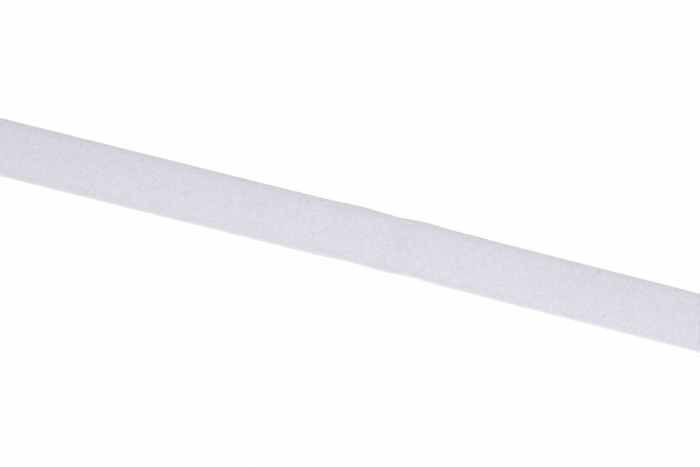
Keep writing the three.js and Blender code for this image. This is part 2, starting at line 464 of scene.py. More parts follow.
# The surfaces that pieces can have: the material's name, the function that fills it, and the slot
SURFACES = {
    "felt": ("napped nylon felt", felt_nodes, "loop_pile"),
    "yarn": ("drawn nylon filament", yarn_nodes, "loop_pile"),
    "ground": ("warp-knitted nylon ground cloth", ground_nodes, "ground_cloth"),
    "ribbon": ("moulded polyamide hook ribbon", ribbon_nodes, "hook_ribbon"),
    "liner": ("smooth grey card liner", liner_nodes, "liner_card"),
    "card": ("brown kraft card", kraft_nodes, "core_card"),
    "tack": ("amber hot melt", tack_nodes, "hot_melt"),
}


# Paths that the tape lies along


def joined(x, y, z):
    """Three columns of numbers as one row for each point."""
    return np.stack([x, y, z], axis=1)


def soft_slope(share):
    return (1 - np.cos(np.pi * np.clip(share, 0, 1))) / 2


def wave(s, start, rise, fall, height):
    """One low wave: a soft rise to its crest, and a soft fall."""
    crest_at = start + rise
    share = np.where(s < crest_at, (s - start) / rise, 1 - (s - crest_at) / fall)
    return height * soft_slope(share)


def crease_place(sizes):
    return sizes.wave_start + sizes.first_rise + sizes.first_fall


def lift(sizes, s):
    """How far the laid-out tape stands off the table: two low waves with a crease between them, and
    a long swell that runs out from the second wave's crest."""
    crease_at = crease_place(sizes)
    swell_start = crease_at + sizes.second_rise
    return (
        wave(s, sizes.wave_start, sizes.first_rise, sizes.first_fall, sizes.first_crest)
        + wave(s, crease_at, sizes.second_rise, sizes.second_fall, sizes.second_crest)
        + wave(s, swell_start, sizes.swell_rise, sizes.swell_fall, sizes.swell)
    )


def side_bend(sizes, s):
    """How far the laid-out tape wanders sideways: out to the crease, and back beyond it."""
    crease_at = crease_place(sizes)
    share = (s - sizes.bend_start) / (crease_at - sizes.bend_start)
    return sizes.bend * np.where(s < crease_at, np.clip(share, 0, 1), 2 - share)


def tape_layers(sizes):
    """Heights through the tape: the ribbon's underside, its top, the ground cloth's top."""
    ribbon_under = sizes.hook_height
    ribbon_top = ribbon_under + sizes.ribbon
    return ribbon_under, ribbon_top, ribbon_top + sizes.ground


def standing_pile(sizes, s):
    """Thickness of the laid-out pile: it stands up again beyond the roll, and stays pressed in the
    crease."""
    recovered = soft_slope(s / sizes.pile_recovery)
    standing = sizes.wound_pile + (sizes.free_pile - sizes.wound_pile) * recovered
    reach = sizes.crease_reach
    return standing - wave(s, crease_place(sizes) - reach, reach, reach, sizes.crease_depth)


def pressed_pile(sizes, h, share):
    """Heights through the tape once the pile is pressed to a share of its thickness."""
    ground_top = tape_layers(sizes)[2]
    return np.where(h > ground_top, ground_top + (h - ground_top) * share, h)


def step_over(sizes, turn):
    """How far, in turns, the winding lies inside an even spiral. The tape hugs the core and then
    steps over its own start, and each turn outside repeats that step more softly."""
    share = turn % 1
    stepped = soft_slope(1 - (1 - share) / sizes.step_over)
    return (stepped - share) * (1 - turn / sizes.turns)


def hook_face_radius(sizes, turn):
    """Radius of the winding's outer face, some turns out from its start on the core."""
    return ROLL_RADIUS - sizes.pitch * (sizes.turns - turn - step_over(sizes, turn))


def winding(sizes):
    """Close steps along the winding: their turns from the start, and their places along the
    tape."""
    turn = np.linspace(0, sizes.turns, WINDING_POINTS)
    middle = hook_face_radius(sizes, turn) - (tape_layers(sizes)[2] + sizes.wound_pile) / 2
    steps = 2 * np.pi * np.diff(turn) * (middle[1:] + middle[:-1]) / 2
    length = np.concatenate([[0], np.cumsum(steps)])
    return turn, length - length[-1]


def wound_length(sizes):
    return float(-winding(sizes)[1][0])


def tape_directions(run, rise):
    """Directions along, across and out of the tape, where it runs and rises by those shares of its
    length."""
    zero = 0 * run
    along = joined(run, zero, rise)
    across = joined(zero, zero + 1, zero)
    outward = joined(-rise, zero, run)
    return np.stack([along, across, outward], axis=2)


def laid_path(sizes, places):
    """World places and directions of tape coordinates on the laid-out stretch."""
    s, y, h = places.T
    stood = pressed_pile(sizes, h, standing_pile(sizes, s) / sizes.free_pile)
    world = joined(CONTACT_X + s, y + side_bend(sizes, s), lift(sizes, s) + stood)
    step = 0.1 * MM
    angle = np.arctan2(lift(sizes, s + step) - lift(sizes, s - step), 2 * step)
    return world, tape_directions(np.cos(angle), np.sin(angle))


def wound_path(sizes, places):
    """World places and directions of tape coordinates on the roll."""
    s, y, h = places.T
    turns, lengths = winding(sizes)
    turn = np.interp(s, lengths, turns)
    angle = -np.pi / 2 + 2 * np.pi * (turn - sizes.turns)
    radius = hook_face_radius(sizes, turn) - h
    across, up = radius * np.cos(angle), radius * np.sin(angle)
    world = joined(ROLL_CENTRE_X + across, y, ROLL_RADIUS + up)
    return world, tape_directions(-np.sin(angle), np.cos(angle))


# Making meshes


def settings(context):
    """The tape's sizes, and the sizes of what covers its faces."""
    return context.scene.tape_sizes, context.scene.tape_texture


def edges_along(bm, axis):
    """The edges of a plain solid that run along an axis."""
    aligned = 0.99

    def heading(edge):
        return (edge.verts[1].co - edge.verts[0].co).normalized()

    return [edge for edge in bm.edges if abs(heading(edge)[axis]) > aligned]


def bar(layer, stretch, step, width=TAPE_WIDTH, cuts=0, slices=1, corner=0.0):
    """A straight closed strip, from low to high in its layer and from start to end of its stretch
    along the tape, divided so that it can be bent. Cuts divide only its upper face across the
    tape, and slices divide the whole of it."""
    (low, high), (start, end) = layer, stretch
    steps = round((end - start) / step)
    bm = bmesh.new()
    bmesh.ops.create_cube(bm, size=1)
    bmesh.ops.scale(bm, vec=(end - start, width, high - low), verts=bm.verts)
    bmesh.ops.translate(bm, vec=((start + end) / 2, 0, (low + high) / 2), verts=bm.verts)
    if corner:
        bmesh.ops.bevel(
            bm,
            geom=edges_along(bm, 0),
            offset=corner,
            affect="EDGES",
            segments=2,
            profile=0.5,
            material=-1,
        )
    if cuts:
        upper = [e for e in edges_along(bm, 1) if e.verts[0].co.z > (low + high) / 2]
        bmesh.ops.subdivide_edges(bm, edges=upper, cuts=cuts, use_grid_fill=True)
    for number in range(1, slices):
        place = (0, width * (number / slices - 0.5), 0)
        parts = bm.verts[:] + bm.edges[:] + bm.faces[:]
        bmesh.ops.bisect_plane(bm, geom=parts, plane_co=place, plane_no=(0, 1, 0))
    bmesh.ops.subdivide_edges(bm, edges=edges_along(bm, 0), cuts=steps - 1, use_grid_fill=True)
    return bm


def mesh_of(bm, name):
    mesh = bpy.data.meshes.new(name)
    bm.to_mesh(mesh)
    bm.free()
    return mesh


def read_places(mesh):
    places = np.empty(len(mesh.vertices) * 3, np.float32)
    mesh.vertices.foreach_get("co", places)
    return places.reshape(-1, 3).astype(float)


def write_places(mesh, places):
    mesh.vertices.foreach_set("co", places.astype(np.float32).ravel())
    mesh.update()


def keep_tape_places(mesh, places, tones):
    """Stores each point's tape coordinates, in millimetres, and its tone, for the materials."""
    tape = mesh.attributes.new("tape", "FLOAT_VECTOR", "POINT")
    tape.data.foreach_set("vector", (places / MM).astype(np.float32).ravel())
    tone = mesh.attributes.new("tone", "FLOAT", "POINT")
    tone.data.foreach_set("value", np.broadcast_to(tones, len(places)).astype(np.float32))


def add_piece(mesh, surface, replaces=()):
    """Shows a finished mesh as a piece of the object. Its material is made if no piece has it."""
    name, fill, slot = SURFACES[surface]
    colours = bpy.context.scene.tape_colours
    mesh.materials.clear()
    mesh.materials.append(bpy.data.materials.get(name) or new_material(name, fill, colours))
    mesh.shade_smooth()
    piece = bpy.data.objects.new(mesh.name, mesh)
    bpy.context.scene.collection.objects.link(piece)
    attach(piece, "root")
    if replaces:
        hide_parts(*replaces)


def strip_piece(sizes, name, path, surface, replaces, shape=None, **form):
    """A bar of that form, shaped in tape coordinates and then laid along its path."""
    mesh = mesh_of(bar(**form), name)
    places = read_places(mesh)
    if shape:
        places = shape(places)
    keep_tape_places(mesh, places, 1.0)
    world, _ = path(sizes, places)
    write_places(mesh, world)
    add_piece(mesh, surface, replaces)


def tape_layer(sizes, name, node, surface, shape=None, **form):
    """One even layer of the tape, made as two strips: laid out, and wound."""
    laid = {"path": laid_path, "stretch": (0, FREE_LENGTH), "step": LAID_STEP}
    wound = {"path": wound_path, "stretch": (-wound_length(sizes), 0), "step": WOUND_STEP}
    for state, node_state, run in (("laid", "free", laid), ("wound", "wound", wound)):
        strip_piece(
            sizes,
            f"{state}_{name}",
            surface=surface,
            replaces=[f"{node_state}_{node}"],
            shape=shape,
            **run,
            **form,
        )


def repeated(bm, name, count):
    """A mesh that holds a shape count times, each copy's points after the last one's."""
    source = bpy.data.objects.new(name, mesh_of(bm, name))
    bpy.context.scene.collection.objects.link(source)
    array = source.modifiers.new("copies", "ARRAY")
    array.count = count
    array.use_relative_offset = False
    bpy.context.view_layer.update()
    evaluated = source.evaluated_get(bpy.context.evaluated_depsgraph_get())
    mesh = bpy.data.meshes.new_from_object(evaluated)
    shape = source.data
    bpy.data.objects.remove(source)
    bpy.data.meshes.remove(shape)
    mesh.name = name
    return mesh


def turned(yaw, lean):
    """Turning matrices, one for each copy: first a lean about the shape's own length, then a
    yaw."""
    zero, one = 0 * yaw, 0 * yaw + 1
    cy, sy, cl, sl = np.cos(yaw), np.sin(yaw), np.cos(lean), np.sin(lean)
    yawed = np.array([[cy, -sy, zero], [sy, cy, zero], [zero, zero, one]])
    leant = np.array([[one, zero, zero], [zero, cl, -sl], [zero, sl, cl]])
    return np.einsum("ijn,jkn->nik", yawed, leant)


def copies_piece(bm, name, path, sizes, roots, turns, scales, tones, surface):
    """Copies of a small shape, standing at their roots on the tape."""
    count = len(roots)
    points = len(bm.verts)
    mesh = repeated(bm, name, count)
    shape = read_places(mesh)[:points]
    if len(mesh.vertices) != points * count:
        raise RuntimeError(f"{name}: the copies don't add up")
    world, directions = path(sizes, roots)
    stance = np.einsum("nij,njk->nik", directions, turns) * scales[:, None, None]
    places = world[:, None, :] + np.einsum("nij,pj->npi", stance, shape)
    keep_tape_places(mesh, np.repeat(roots, points, axis=0), np.repeat(tones, points))
    write_places(mesh, places.reshape(-1, 3))
    add_piece(mesh, surface)


def lumps(places, size, seed):
    """Smooth noise between -1 and 1, whose lumps are about that size."""
    offset = Vector((seed, 2 * seed, 3 * seed))
    return np.array([noise.noise(Vector(p) / size + offset) for p in places])


def face_lumps(places, size, seed):
    """The same noise, alike through the tape's thickness."""
    return lumps(places * (1, 1, 0), size, seed)


# Small shapes


def yarn_arc(radius, sweep, steps, yarn_radius):
    """A piece of yarn bent to an arc that stands on its two ends, three-sided and closed."""
    bm = bmesh.new()
    start = Matrix.Rotation(-sweep / 2, 4, "Y") @ Matrix.Translation((0, 0, radius))
    upright = start @ Matrix.Rotation(math.pi / 2, 4, "Y")
    bmesh.ops.create_circle(bm, cap_ends=True, segments=3, radius=yarn_radius, matrix=upright)
    bmesh.ops.spin(
        bm,
        geom=bm.verts[:] + bm.edges[:] + bm.faces[:],
        cent=(0, 0, 0),
        axis=(0, 1, 0),
        angle=sweep,
        steps=steps,
        use_duplicate=False,
    )
    bmesh.ops.translate(bm, vec=(0, 0, -radius * math.cos(sweep / 2)), verts=bm.verts)
    bmesh.ops.recalc_face_normals(bm, faces=bm.faces)
    return bm


def loop_shape(texture):
    """One loop that stands clear of the felt, narrower at its feet."""
    sweep = math.radians(250)
    return yarn_arc(texture.loop_radius, sweep, steps=7, yarn_radius=texture.yarn_radius)


def filament_shape(texture):
    """One filament brushed flat, only slightly bent."""
    sweep = math.radians(84)
    return yarn_arc(texture.filament_radius, sweep, steps=5, yarn_radius=texture.fibre_radius)


def hook_shape(sizes, texture):
    """One moulded hook: a flat stem that narrows, bends over along the tape and ends in a blunt
    tip."""
    bm = bmesh.new()
    bmesh.ops.create_grid(bm, x_segments=1, y_segments=1, size=0.5)
    bmesh.ops.scale(bm, vec=(texture.hook_depth, texture.hook_width, 1), verts=bm.verts)
    overlap = sizes.ribbon / 2
    bmesh.ops.translate(bm, vec=(0, 0, -overlap), verts=bm.verts)
    # Each step: the share of the hook's height that it moves, the turn that it starts with, and
    # how much the section narrows along the tape. Across the tape it narrows evenly.
    steps = [(0.45, 0, 0.66), (0.3, 22, 0.85), (0.24, 48, 0.92), (0.24, 52, 0.9), (0.2, 40, 0.75)]
    narrowing_across = 0.9
    heading = 0.0
    bm.faces.ensure_lookup_table()
    face = bm.faces[0]
    for index, (share, turn, narrowing) in enumerate(steps):
        made = bmesh.ops.extrude_face_region(bm, geom=[face, *face.edges, *face.verts])
        face = next(f for f in made["geom"] if isinstance(f, bmesh.types.BMFace))
        ends = face.verts[:]
        centre = face.calc_center_median()
        heading += math.radians(turn)
        turning = Matrix.Rotation(math.radians(turn), 3, "Y")
        bmesh.ops.rotate(bm, cent=centre, matrix=turning, verts=ends)
        reach = share * sizes.hook_height + (overlap if index == 0 else 0)
        step = Vector((math.sin(heading), 0, math.cos(heading))) * reach
        bmesh.ops.translate(bm, vec=step, verts=ends)
        centre = face.calc_center_median()
        narrow = Matrix.Diagonal((narrowing, narrowing_across, narrowing))
        for vert in ends:
            vert.co = centre + narrow @ (vert.co - centre)
    bmesh.ops.recalc_face_normals(bm, faces=bm.faces)
    return bm


# Loop pile

# The crown's drop: shares of it, and the powers by which they grow towards the tape's edges
CROWN_PARTS = ((0.8, 2), (0.2, 10))
# Width and height of the felt's tufts, and of its finer wisps
TUFT_SIZE, TUFT_HEIGHT = 1.7 * MM, 0.03 * MM
WISP_SIZE, WISP_HEIGHT = 0.6 * MM, 0.02 * MM
# How far the felt draws in beside a cut edge, over the last fortieth of its half width
DRAWN_IN, DRAWN_PART = 0.06 * MM, 40
# What filaments and loops leave clear, at both sides of the face together
FACE_MARGINS = 0.6 * MM
# How many pieces they are divided into
FILAMENT_PARTS, LOOP_PARTS = 3, 2

# Least and most of each random draw. Leans and spreads are in radians, and heights over the felt
# are in millimetres. A loop sinks by a share of its own height.
TONES, LOOSE_TONES = (0.98, 1.02), (0.97, 1.03)
FILAMENT_HEIGHTS, FILAMENT_LEANS, FILAMENT_SCALES = (-0.04, 0.02), (1.1, 1.5), (0.7, 1.3)
LOOP_SCALES, LOOP_SINKING = (0.7, 1.2), (0.5, 0.85)
EDGE_LEANS, LOOSE_LEANS, LOOSE_SCALES = (0.6, 2.0), (-1.6, 1.6), (0.4, 1.0)
FILAMENT_YAW, FILAMENT_YAW_SPREAD = math.radians(60), 0.8
EDGE_YAW_SPREAD, LOOP_LEAN_SPREAD = 0.5, 0.7
LAID_EDGE_SCALES, WOUND_EDGE_SCALES = (0.5, 0.9), (0.6, 1.2)
# How far an edge filament may stray within the length that is its own
EDGE_STRAYING = (0.1, 0.9)
# How high a loop stands, for a radius of 1
LOOP_HEIGHT = 1.57


def crown_drop(texture, y):
    """How much lower the pile stands towards the tape's edges."""
    share = np.clip(np.abs(y) / (TAPE_WIDTH / 2), 0, 1)
    return texture.crown * sum(part * share**power for part, power in CROWN_PARTS)


def felt_top(sizes, texture, y):
    standing = (sizes.free_pile - crown_drop(texture, y)) * texture.felt_share
    return tape_layers(sizes)[2] + standing


def felt_shape(sizes, texture, full_height):
    """Shapes the matted part of the pile: crowned, tufted and a little ragged at the cut edges."""
    ground_top = tape_layers(sizes)[2]

    def shape(places):
        s, y, h = places.T
        tufts = face_lumps(places, TUFT_SIZE, texture.seed + TUFT_NOISE)
        wisps = face_lumps(places, WISP_SIZE, texture.seed + WISP_NOISE)
        raised = np.clip((h - ground_top) / full_height, 0, 1)
        drop = crown_drop(texture, y) * texture.felt_share
        h = h + raised * (TUFT_HEIGHT * tufts + WISP_HEIGHT * wisps - drop)
        side = np.clip(np.abs(y) / (TAPE_WIDTH / 2) * DRAWN_PART - (DRAWN_PART - 1), 0, 1)
        y = y - np.sign(y) * side * raised * DRAWN_IN * (1 + 2 * wisps)
        return joined(s, y, h)

    return shape


def scattered(draw, part, parts, spacing):
    """Places spread evenly over one part of the laid-out face, each moved by up to half the
    spacing."""
    width, length = TAPE_WIDTH - FACE_MARGINS, FREE_LENGTH / parts
    across, along = round(width / spacing), round(length / spacing)
    column, row = (grid.ravel() for grid in np.meshgrid(np.arange(along), np.arange(across)))
    s = length * part + length * (column + draw.uniform(0, 1, across * along)) / along
    y = width * ((row + draw.uniform(0, 1, across * along)) / across - 0.5)
    return s, y


def edge_places(draw, side, stretch, insets, heights, spacing):
    """Places close inside one of the tape's cut edges."""
    start, end = stretch
    count = round((end - start) / spacing)
    s = start + (end - start) * (np.arange(count) + draw.uniform(*EDGE_STRAYING, count)) / count
    y = side * (TAPE_WIDTH / 2 - draw.uniform(*insets, count))
    return joined(s, y, draw.uniform(*heights, count))


def yarn_piece(context, bm, name, path, places, turns, scales, draw):
    """Copies of a filament or a loop, some of them a little brighter than others."""
    sizes, texture = settings(context)
    # The gain is painted light, brightening every copy over the felt
    tones = draw.uniform(*TONES, len(places)) * texture.yarn_painted_light
    copies_piece(bm, name, path, sizes, places, turns, scales, tones, "yarn")


def edge_filaments(context, name, path, sides, draw_number, scales, shape=None, **where):
    """Filaments along the cut edges of those sides, most of them bowed outwards."""
    texture = context.scene.tape_texture
    draw = np.random.default_rng(texture.seed + draw_number)
    places = np.concatenate([edge_places(draw, side, **where) for side in sides])
    if shape:
        places = shape(places)
    count = len(places)
    outwards = -np.sign(places[:, 1]) * draw.uniform(*EDGE_LEANS, count)
    turns = turned(draw.normal(0, EDGE_YAW_SPREAD, count), outwards)
    lengths = draw.uniform(*scales, count)
    yarn_piece(context, filament_shape(texture), name, path, places, turns, lengths, draw)


def filament_stances(_, draw, count):
    """For filaments that lie on the felt, most of them slanting across the tape as napping leaves
    them: their heights over the felt, yaws, leans and scales."""
    above = draw.uniform(*FILAMENT_HEIGHTS, count) * MM
    yaw = FILAMENT_YAW + draw.normal(0, FILAMENT_YAW_SPREAD, count)
    lean = draw.uniform(*FILAMENT_LEANS, count) * draw.choice([-1, 1], count)
    return above, yaw, lean, draw.uniform(*FILAMENT_SCALES, count)


def loop_stances(texture, draw, count):
    """The same for loops whose feet are sunk in the felt."""
    scales = draw.uniform(*LOOP_SCALES, count)
    sunk = draw.uniform(*LOOP_SINKING, count) * texture.loop_radius * LOOP_HEIGHT * scales
    yaw = draw.uniform(0, 2 * np.pi, count)
    return -sunk, yaw, draw.normal(0, LOOP_LEAN_SPREAD, count), scales


def scattered_yarn(context, name, shape, stances, draw_number, parts, spacing):
    """Yarn scattered over the laid-out felt, in pieces that lie one beyond the other."""
    sizes, texture = settings(context)
    for part in range(parts):
        draw = np.random.default_rng(texture.seed + draw_number + part)
        s, y = scattered(draw, part, parts, spacing)
        above, yaw, lean, scales = stances(texture, draw, len(s))
        places = joined(s, y, felt_top(sizes, texture, y) + above)
        turns = turned(yaw, lean)
        piece = f"laid_pile_{name}_{part + 1}"
        yarn_piece(context, shape(texture), piece, laid_path, places, turns, scales, draw)


class TAPE_OT_laid_pile(bpy.types.Operator):
    """Make the loop pile of the laid-out stretch: matted felt, filaments brushed flat, and loops"""

    bl_idname = "tape_roll.laid_pile"
    bl_label = "Laid-out loop pile"

    def execute(self, context):
        sizes, texture = settings(context)
        ground_top = tape_layers(sizes)[2]
        felt_height = sizes.free_pile * texture.felt_share
        strip_piece(
            sizes,
            "laid_pile_felt",
            laid_path,
            "felt",
            ["free_loop_pile"],
            felt_shape(sizes, texture, felt_height),
            layer=(ground_top, ground_top + felt_height),
            stretch=(0, FREE_LENGTH),
            step=FELT_STEP,
            cuts=50,
            corner=0.13 * MM,
        )
        scattered_yarn(
            context,
            "filaments",
            filament_shape,
            filament_stances,
            FILAMENT_DRAW,
            FILAMENT_PARTS,
            texture.filament_spacing,
        )
        scattered_yarn(
            context, "loops", loop_shape, loop_stances, LOOP_DRAW, LOOP_PARTS, texture.loop_spacing
        )
        edge_filaments(
            context,
            "laid_pile_edges",
            laid_path,
            (-1, 1),
            LAID_EDGE_DRAW,
            LAID_EDGE_SCALES,
            stretch=(0, FREE_LENGTH),
            insets=(0.2 * MM, 0.6 * MM),
            heights=(ground_top, felt_top(sizes, texture, TAPE_WIDTH / 2)),
            spacing=0.3 * MM,
        )
        return {"FINISHED"}


class TAPE_OT_wound_pile(bpy.types.Operator):
    """Make the loop pile in the roll: felt pressed round the hooks, and filaments at both edges"""

    bl_idname = "tape_roll.wound_pile"
    bl_label = "Wound loop pile"

    def execute(self, context):
        sizes, texture = settings(context)
        ground_top = tape_layers(sizes)[2]
        length = wound_length(sizes)
        filled = sizes.pitch - ground_top + texture.hook_grip
        pressed = self.pressed(sizes, filled)
        rooted_share = 0.9
        strip_piece(
            sizes,
            "wound_pile_felt",
            wound_path,
            "felt",
            ["wound_loop_pile"],
            pressed,
            layer=(ground_top, ground_top + filled),
            stretch=(-length, 0),
            step=WOUND_STEP,
            width=TAPE_WIDTH - 0.3 * MM,
            corner=0.25 * MM,
        )
        for side, name in ((-1, "wound_pile_edge_front"), (1, "wound_pile_edge_back")):
            edge_filaments(
                context,
                name,
                wound_path,
                [side],
                WOUND_EDGE_DRAW + side,
                WOUND_EDGE_SCALES,
                pressed,
                stretch=(-length, 0),
                insets=(0, 0.3 * MM),
                heights=(ground_top, ground_top + rooted_share * filled),
                spacing=0.55 * MM,
            )
        return {"FINISHED"}

    def pressed(self, sizes, filled):
        """Presses the pile against the core and its tack, and thins it where the tape leaves the
        roll."""
        turns, lengths = winding(sizes)
        core_clearance = 0.02 * MM
        thinned_length = 8 * MM

        def shape(places):
            s, y, h = places.T
            turn = np.interp(s, lengths, turns)
            tacked = np.where(s < lengths[0] + sizes.tack_length, sizes.tack, core_clearance)
            room = hook_face_radius(sizes, turn) - CORE_RADIUS - tacked
            leaving = soft_slope(-s / thinned_length)
            share = leaving + (1 - leaving) * sizes.wound_pile / filled
            return joined(s, y, np.minimum(pressed_pile(sizes, h, share), room))

        return shape


class TAPE_OT_loose_ends(bpy.types.Operator):
    """Make the loose filaments that stand out of the cut end and along the slit edges"""

    bl_idname = "tape_roll.loose_ends"
    bl_label = "Loose filaments"

    def execute(self, context):
        sizes, texture = settings(context)
        draw = np.random.default_rng(texture.seed + LOOSE_DRAW)
        _, ribbon_top, ground_top = tape_layers(sizes)
        at_end, along = 90, 60
        edge_scale, pile_share = 0.6, 0.6
        # Where the first of those along the edges may be, as a share of the length, and how far
        # those at the end may be from its middle, as a share of the width
        first_share, end_reach = 0.01, 0.48
        count = at_end + along
        side = np.where(draw.uniform(0, 1, count) < 0.5, -1.0, 1.0)
        ends = np.arange(count) < at_end
        s = np.where(ends, FREE_LENGTH, draw.uniform(first_share, 1, count) * FREE_LENGTH)
        across = draw.uniform(-end_reach, end_reach, count) * TAPE_WIDTH
        y = np.where(ends, across, side * TAPE_WIDTH / 2)
        h = draw.uniform(ribbon_top, ground_top + pile_share * sizes.free_pile, count)
        yaw = draw.normal(0, EDGE_YAW_SPREAD, count)
        copies_piece(
            filament_shape(texture),
            "loose_filaments",
            laid_path,
            sizes,
            joined(s, y, h),
            turned(yaw, draw.uniform(*LOOSE_LEANS, count)),
            draw.uniform(*LOOSE_SCALES, count) * np.where(ends, 1.0, edge_scale),
            draw.uniform(*LOOSE_TONES, count),
            "yarn",
        )
        return {"FINISHED"}


# Ground cloth


def slit_edges(texture):
    """Gives a strip's two sides the slight waver of a slit edge."""
    depth = 0.04 * MM
    waver_length = 4 * MM

    def shape(places):
        s, y, h = places.T
        waver = face_lumps(places, waver_length, texture.seed + SLIT_NOISE)
        return joined(s, y * (1 + waver * depth / (TAPE_WIDTH / 2)), h)

    return shape


class TAPE_OT_ground_cloth(bpy.types.Operator):
    """Make the knitted ground cloth, wound and laid out"""

    bl_idname = "tape_roll.ground_cloth"
    bl_label = "Ground cloth"

    def execute(self, context):
        sizes = context.scene.tape_sizes
        shape = slit_edges(context.scene.tape_texture)
        layer = tape_layers(sizes)[1:]
        tape_layer(sizes, "knit", "ground_cloth", "ground", shape, layer=layer, corner=0.08 * MM)
        return {"FINISHED"}


# Hook strip


def hook_rows(texture):
    """The rows of hooks across the ribbon, as places across the tape."""
    span = TAPE_WIDTH - 2 * texture.hook_margin
    count = round(span / texture.hook_row) + 1
    return np.linspace(-span / 2, span / 2, count)


def hooks_piece(sizes, texture, name, path, rows, start, end):
    """Rows of hooks under the ribbon. Neighbouring rows face opposite ways along the tape, and are
    shifted by half the pitch."""
    along = round((end - start) / texture.hook_pitch)
    even = start + (end - start) * (np.arange(along) + 0.5) / along
    s, row = (grid.ravel() for grid in np.meshgrid(even, np.arange(len(rows))))
    s = s + np.where(row % 2, 0.25, -0.25) * texture.hook_pitch
    one = np.ones_like(s)
    # The hooks stand on the ribbon's underside, so the shape is turned over about the tape's
    # length.
    copies_piece(
        hook_shape(sizes, texture),
        name,
        path,
        sizes,
        joined(s, rows[row], sizes.hook_height * one),
        turned(np.where(row % 2, np.pi, 0.0), np.pi * one),
        one,
        one,
        "ribbon",
    )


class TAPE_OT_hook_strip(bpy.types.Operator):
    """Make the moulded hook ribbon, wound and laid out, with its rows of hooks"""

    bl_idname = "tape_roll.hook_strip"
    bl_label = "Hook strip"

    def execute(self, context):
        sizes, texture = settings(context)
        layer = tape_layers(sizes)[:2]
        tape_layer(sizes, "hook_ribbon", "hook_strip", "ribbon", layer=layer, corner=0.05 * MM)
        rows = hook_rows(texture)
        turns, lengths = winding(sizes)
        outer_turn = float(np.interp(sizes.turns - 1, turns, lengths))
        covered = (
            ("laid_hooks", laid_path, rows, 0, FREE_LENGTH),
            ("outer_turn_hooks", wound_path, rows, outer_turn, 0),
            ("inner_turn_edge_hooks", wound_path, rows[[0, -1]], -wound_length(sizes), outer_turn),
        )
        for stretch in covered:
            hooks_piece(sizes, texture, *stretch)
        return {"FINISHED"}


# Card core and tack


def card_ply(sizes, name, inner_radius, thickness, seam_share, surface):
    """A helically wound ply of the core, from a straight bar that is wrapped round until its
    slanted ends meet in a butt seam."""
    steps_round = 180
    rough_end, rough_depth, rough_size = 0.1 * MM, 0.02 * MM, 0.5 * MM
    around = 2 * math.pi * inner_radius
    lead = around * math.tan(sizes.ply_lay)
    length = around - sizes.butt_gap

    def wrapped(_, places):
        s, y, h = places.T
        # The sawn ends are a little rough.
        rough = rough_depth * lumps(places, rough_size, SAWN_NOISE)
        y = y + np.where(np.abs(y) > CORE_LENGTH / 2 - rough_end, rough, 0)
        angle = 2 * np.pi * (seam_share + y / lead) + s / inner_radius
        radius = inner_radius + h
        across, up = radius * np.sin(angle), radius * np.cos(angle)
        return joined(ROLL_CENTRE_X + across, y, ROLL_RADIUS + up), None

    strip_piece(
        sizes,
        name,
        wrapped,
        surface,
        [f"{name}_ply"],
        layer=(0, thickness),
        stretch=(0, length),
        step=length / steps_round,
        width=CORE_LENGTH,
        slices=20,
        corner=0.06 * MM,
    )


class TAPE_OT_core(bpy.types.Operator):
    """Make the card core of three plies, each with its own slanted seam"""

    bl_idname = "tape_roll.core"
    bl_label = "Card core"

    def execute(self, context):
        sizes = context.scene.tape_sizes
        body_outer = CORE_RADIUS - sizes.cover_ply
        liner_outer = body_outer - sizes.body_ply
        bore = liner_outer - sizes.liner_ply
        # The seams lie a third of a turn apart.
        plies = (
            ("core_liner", bore, sizes.liner_ply, 0.08, "liner"),
            ("core_body", liner_outer, sizes.body_ply, 0.41, "card"),
            ("core_cover", body_outer, sizes.cover_ply, 0.74, "card"),
        )
        for ply in plies:
            card_ply(sizes, *ply)
        return {"FINISHED"}


class TAPE_OT_tack(bpy.types.Operator):
    """Make the hot melt that holds the start of the tape on the core"""

    bl_idname = "tape_roll.tack"
    bl_label = "Start tack"

    def execute(self, context):
        sizes, texture = settings(context)
        pile_face = tape_layers(sizes)[2] + sizes.wound_pile
        start = -wound_length(sizes)
        mean_width, waver_depth, waver_length = 0.985, 0.02, 3 * MM

        def pressed_out(places):
            s, y, h = places.T
            waver = face_lumps(places, waver_length, texture.seed + TACK_NOISE)
            return joined(s, y * (mean_width + waver_depth * waver), h)

        strip_piece(
            sizes,
            "start_tack_melt",
            wound_path,
            "tack",
            ["start_tack"],
            pressed_out,
            layer=(pile_face, pile_face + sizes.tack),
            stretch=(start, start + sizes.tack_length),
            step=0.5 * MM,
            cuts=20,
            corner=0.1 * MM,
        )
        return {"FINISHED"}


class TAPE_OT_declare(bpy.types.Operator):
    """List the pieces of the laid-out and of the wound tape, and work out the wound length; nothing
    more is done with them
    """

    bl_idname = "tape_roll.declare"
    bl_label = "Declare the tape as cloth"

    def execute(self, context):
        sizes = context.scene.tape_sizes
        laid = ["laid_pile_felt", "laid_hook_ribbon", "laid_hooks", "loose_filaments"]
        laid += [f"laid_pile_filaments_{part + 1}" for part in range(FILAMENT_PARTS)]
        laid += [f"laid_pile_loops_{part + 1}" for part in range(LOOP_PARTS)]
        laid += ["laid_pile_edges"]
        wound = ["wound_pile_felt", "wound_pile_edge_front", "wound_pile_edge_back"]
        wound += ["wound_hook_ribbon", "outer_turn_hooks", "inner_turn_edge_hooks"]
        wound_length(sizes)
        return {"FINISHED"}


# Stage

WHITE = (1, 1, 1, 1)
FLOOR_REACH = 4
FLOOR_DROP = 0.05 * MM
# Share of the floor that the camera sees as plain white
FLOOR_WHITENESS = 0.97
# Where the camera looks: how far across the tape, and how far above the table
VIEW_ACROSS, VIEW_ABOVE = 0.36 * MM, 1.5 * MM
KEY_PLACE = Vector((0.09, -0.43, 0.49))


